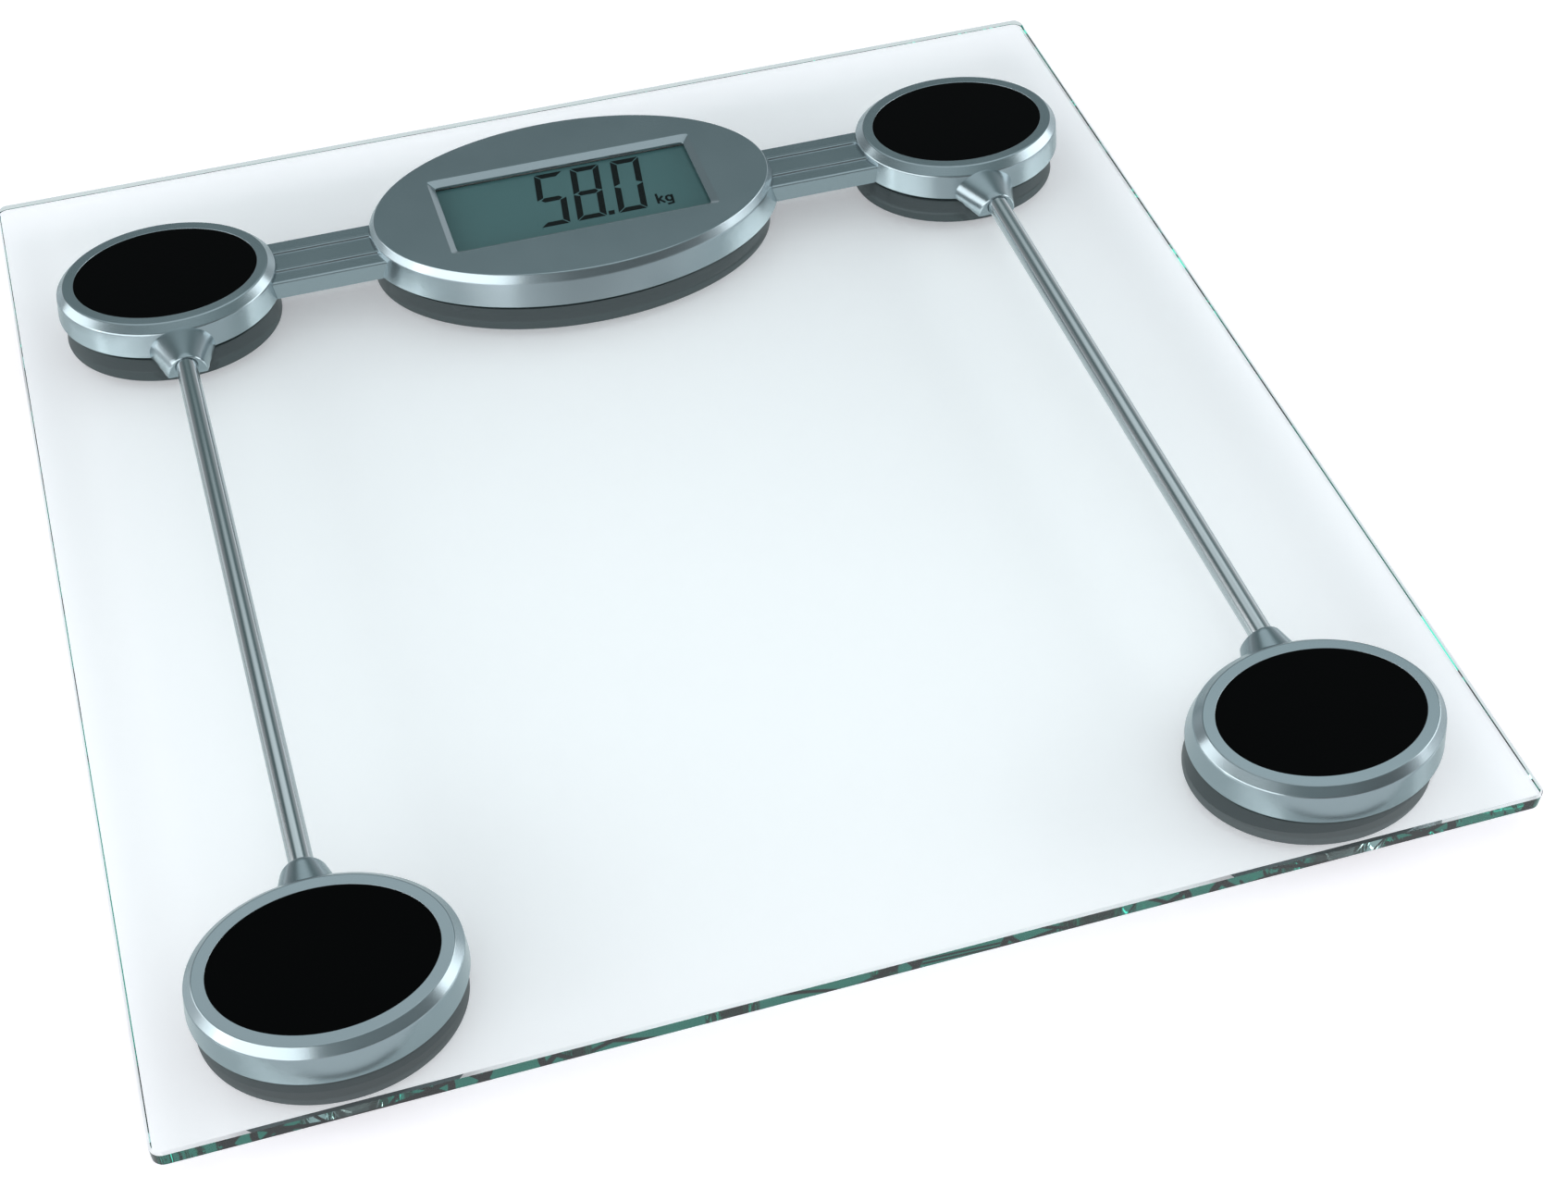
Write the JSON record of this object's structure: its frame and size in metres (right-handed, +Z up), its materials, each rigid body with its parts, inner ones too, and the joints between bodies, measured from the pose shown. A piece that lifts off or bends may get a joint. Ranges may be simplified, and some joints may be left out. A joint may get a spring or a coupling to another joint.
{
  "type": "digital personal scale",
  "caption": "Square glass platform scale with oval foot pods, steel side tubes and an oval digital display unit.",
  "frame": {"origin": "on the floor, under the centre of the glass platform", "axes": "+Z up, +Y towards the display side, +X to the right of a person who stands on it and reads the display"},
  "size_m": [0.33, 0.33, 0.0241],
  "materials": {
    "platform_glass": "clear toughened float glass with ground green edges",
    "silver_shell": "fine silver metallic lacquer on moulded plastic",
    "black_inlay": "matt black, finely textured",
    "foam": "thin dark closed-cell foam",
    "dark_plastic": "fine moulded texture, dark grey",
    "cell_steel": "bare spring steel",
    "foot_plastic": "moulded, dark grey",
    "foot_rubber": "matt non-slip rubber",
    "screw_steel": "zinc plated",
    "tube_steel": "bright drawn stainless tube",
    "cable_jacket": "soft grey jacket",
    "window_clear": "clear acrylic window",
    "lcd": "grey-green reflective liquid-crystal panel",
    "white_plastic": "moulded, off-white",
    "contact_rubber": "layered conductive rubber",
    "board": "solder mask on glass-fibre board",
    "epoxy": "potting resin",
    "battery_can": "nickel-plated steel can",
    "contact_metal": "nickel-plated spring strip",
    "lead_jacket": "thin insulated wire",
    "switch_plastic": "moulded, black"
  },
  "bodies": {
    "platform": {"battery_cell": "battery_can", "battery_contact_negative": "contact_metal", "battery_contact_positive": "contact_metal", "battery_leads": "lead_jacket", "board_screws": "screw_steel", "case_screws": "screw_steel", "cell_cable_front_left": "cable_jacket", "cell_cable_front_right": "cable_jacket", "cell_cable_rear_left": "cable_jacket", "cell_cable_rear_right": "cable_jacket", "circuit_board": "board", "contact_strips": "contact_rubber", "controller_chip": "epoxy", "display_base": "dark_plastic", "display_cover": "silver_shell", "display_gasket": "foam", "display_lens": "window_clear", "foot_base_front_left": "dark_plastic", "foot_base_front_right": "dark_plastic", "foot_base_rear_left": "dark_plastic", "foot_base_rear_right": "dark_plastic", "glass_platform": "platform_glass", "lcd_holder": "white_plastic", "lcd_panel": "lcd", "link_bar_left": "silver_shell", "link_bar_right": "silver_shell", "load_cell_front_left": "cell_steel", "load_cell_front_right": "cell_steel", "load_cell_rear_left": "cell_steel", "load_cell_rear_right": "cell_steel", "pod_cover_front_left": "silver_shell", "pod_cover_front_right": "silver_shell", "pod_cover_rear_left": "silver_shell", "pod_cover_rear_right": "silver_shell", "pod_gasket_front_left": "foam", "pod_gasket_front_right": "foam", "pod_gasket_rear_left": "foam", "pod_gasket_rear_right": "foam", "pod_insert_front_left": "black_inlay", "pod_insert_front_right": "black_inlay", "pod_insert_rear_left": "black_inlay", "pod_insert_rear_right": "black_inlay", "side_tube_left": "tube_steel", "side_tube_right": "tube_steel", "switch_body": "switch_plastic", "switch_leads": "lead_jacket"},
    "foot_front_left": {"foot_cup_front_left": "foot_plastic", "foot_pad_front_left": "foot_rubber"},
    "foot_front_right": {"foot_cup_front_right": "foot_plastic", "foot_pad_front_right": "foot_rubber"},
    "foot_rear_left": {"foot_cup_rear_left": "foot_plastic", "foot_pad_rear_left": "foot_rubber"},
    "foot_rear_right": {"foot_cup_rear_right": "foot_plastic", "foot_pad_rear_right": "foot_rubber"},
    "battery_door_body": {"battery_door": "dark_plastic"},
    "unit_knob": {"switch_slider": "white_plastic"}
  },
  "joints": [
    {"name": "foot_press_front_left", "type": "slide", "parent": "platform", "child": "foot_front_left", "axis": [0, 0, 1], "range_m": [0, 0.0005], "stiffness_N_per_m": 3000, "springref_m": -0.003, "deforming": ["load_cell_front_left"]},
    {"name": "foot_press_front_right", "type": "slide", "parent": "platform", "child": "foot_front_right", "axis": [0, 0, 1], "range_m": [0, 0.0005], "stiffness_N_per_m": 3000, "springref_m": -0.003, "deforming": ["load_cell_front_right"]},
    {"name": "foot_press_rear_left", "type": "slide", "parent": "platform", "child": "foot_rear_left", "axis": [0, 0, 1], "range_m": [0, 0.0005], "stiffness_N_per_m": 3000, "springref_m": -0.003, "deforming": ["load_cell_rear_left"]},
    {"name": "foot_press_rear_right", "type": "slide", "parent": "platform", "child": "foot_rear_right", "axis": [0, 0, 1], "range_m": [0, 0.0005], "stiffness_N_per_m": 3000, "springref_m": -0.003, "deforming": ["load_cell_rear_right"]},
    {"name": "battery_door_hinge", "type": "hinge", "parent": "platform", "child": "battery_door_body", "pos_m": [0.024, 0.122, 0.005], "axis": [1, 0, 0], "range_deg": [0, 90]},
    {"name": "unit_switch_slide", "type": "slide", "parent": "platform", "child": "unit_knob", "axis": [1, 0, 0], "range_m": [0, 0.003]}
  ]
}
